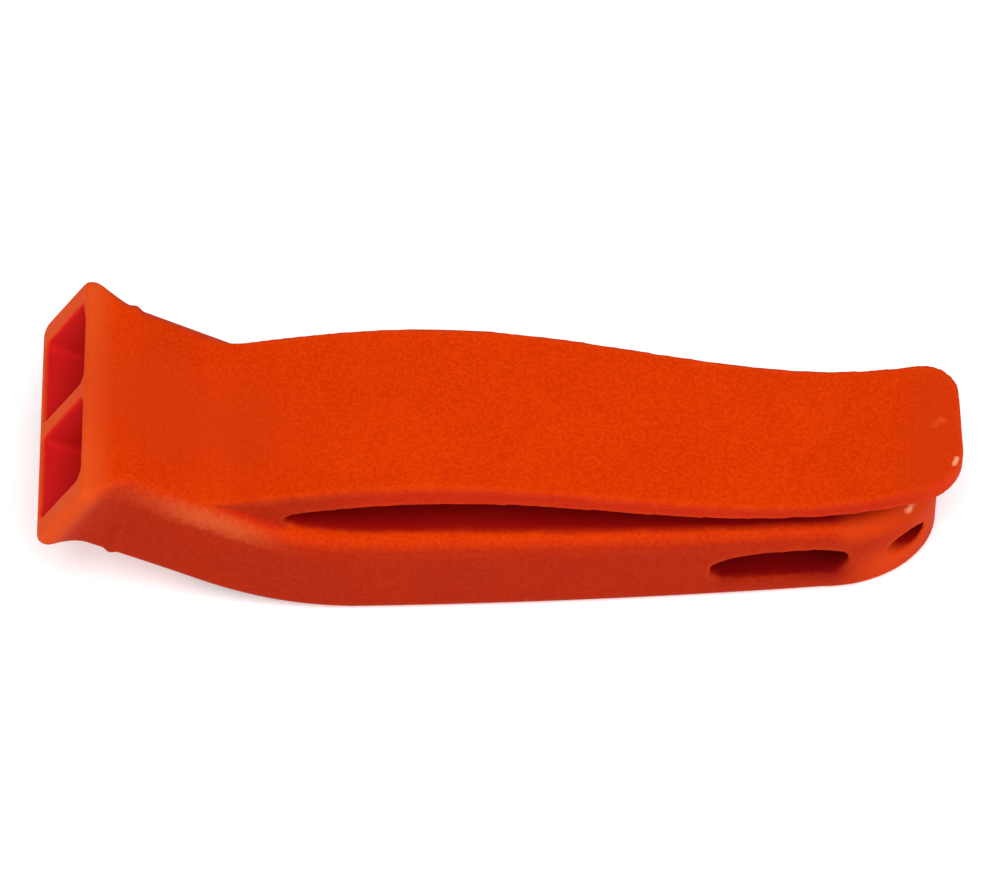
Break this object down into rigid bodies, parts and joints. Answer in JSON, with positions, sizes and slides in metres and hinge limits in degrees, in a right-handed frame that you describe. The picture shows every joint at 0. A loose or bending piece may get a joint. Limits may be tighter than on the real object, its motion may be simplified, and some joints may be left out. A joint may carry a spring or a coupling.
{
  "type": "pealess clip whistle",
  "caption": "Flat pealess whistle with side-by-side air ducts, a tilted neck, a flexing belt clip, a cord slot and a tail hole.",
  "frame": {"origin": "centre of the whistle's bounding box, on the flat back that it lies on", "axes": "+X from the mouth to the tail, +Y to the side of the longer chamber, +Z from the flat back up through the clip"},
  "size_m": [0.075, 0.0222, 0.0174],
  "materials": {
    "body_plastic": "satin, fine moulded grain",
    "mouthpiece_plastic": "satin, slightly polished at the lip",
    "inner_plastic": "as moulded",
    "cover_plastic": "satin, fine moulded grain",
    "clip_plastic": "satin, fine moulded grain"
  },
  "bodies": {
    "whistle": {"body_shell": "body_plastic", "mouthpiece": "mouthpiece_plastic", "windway_block_left": "inner_plastic", "windway_block_right": "inner_plastic", "back_cover": "cover_plastic"},
    "clip": {"spring_clip": "clip_plastic"}
  },
  "joints": [
    {"name": "clip_flex", "type": "hinge", "parent": "whistle", "child": "clip", "pos_m": [-0.0175, 0, 0.0134], "axis": [0, -1, 0], "range_deg": [-2.5, 5], "stiffness_Nm_per_rad": 4}
  ]
}
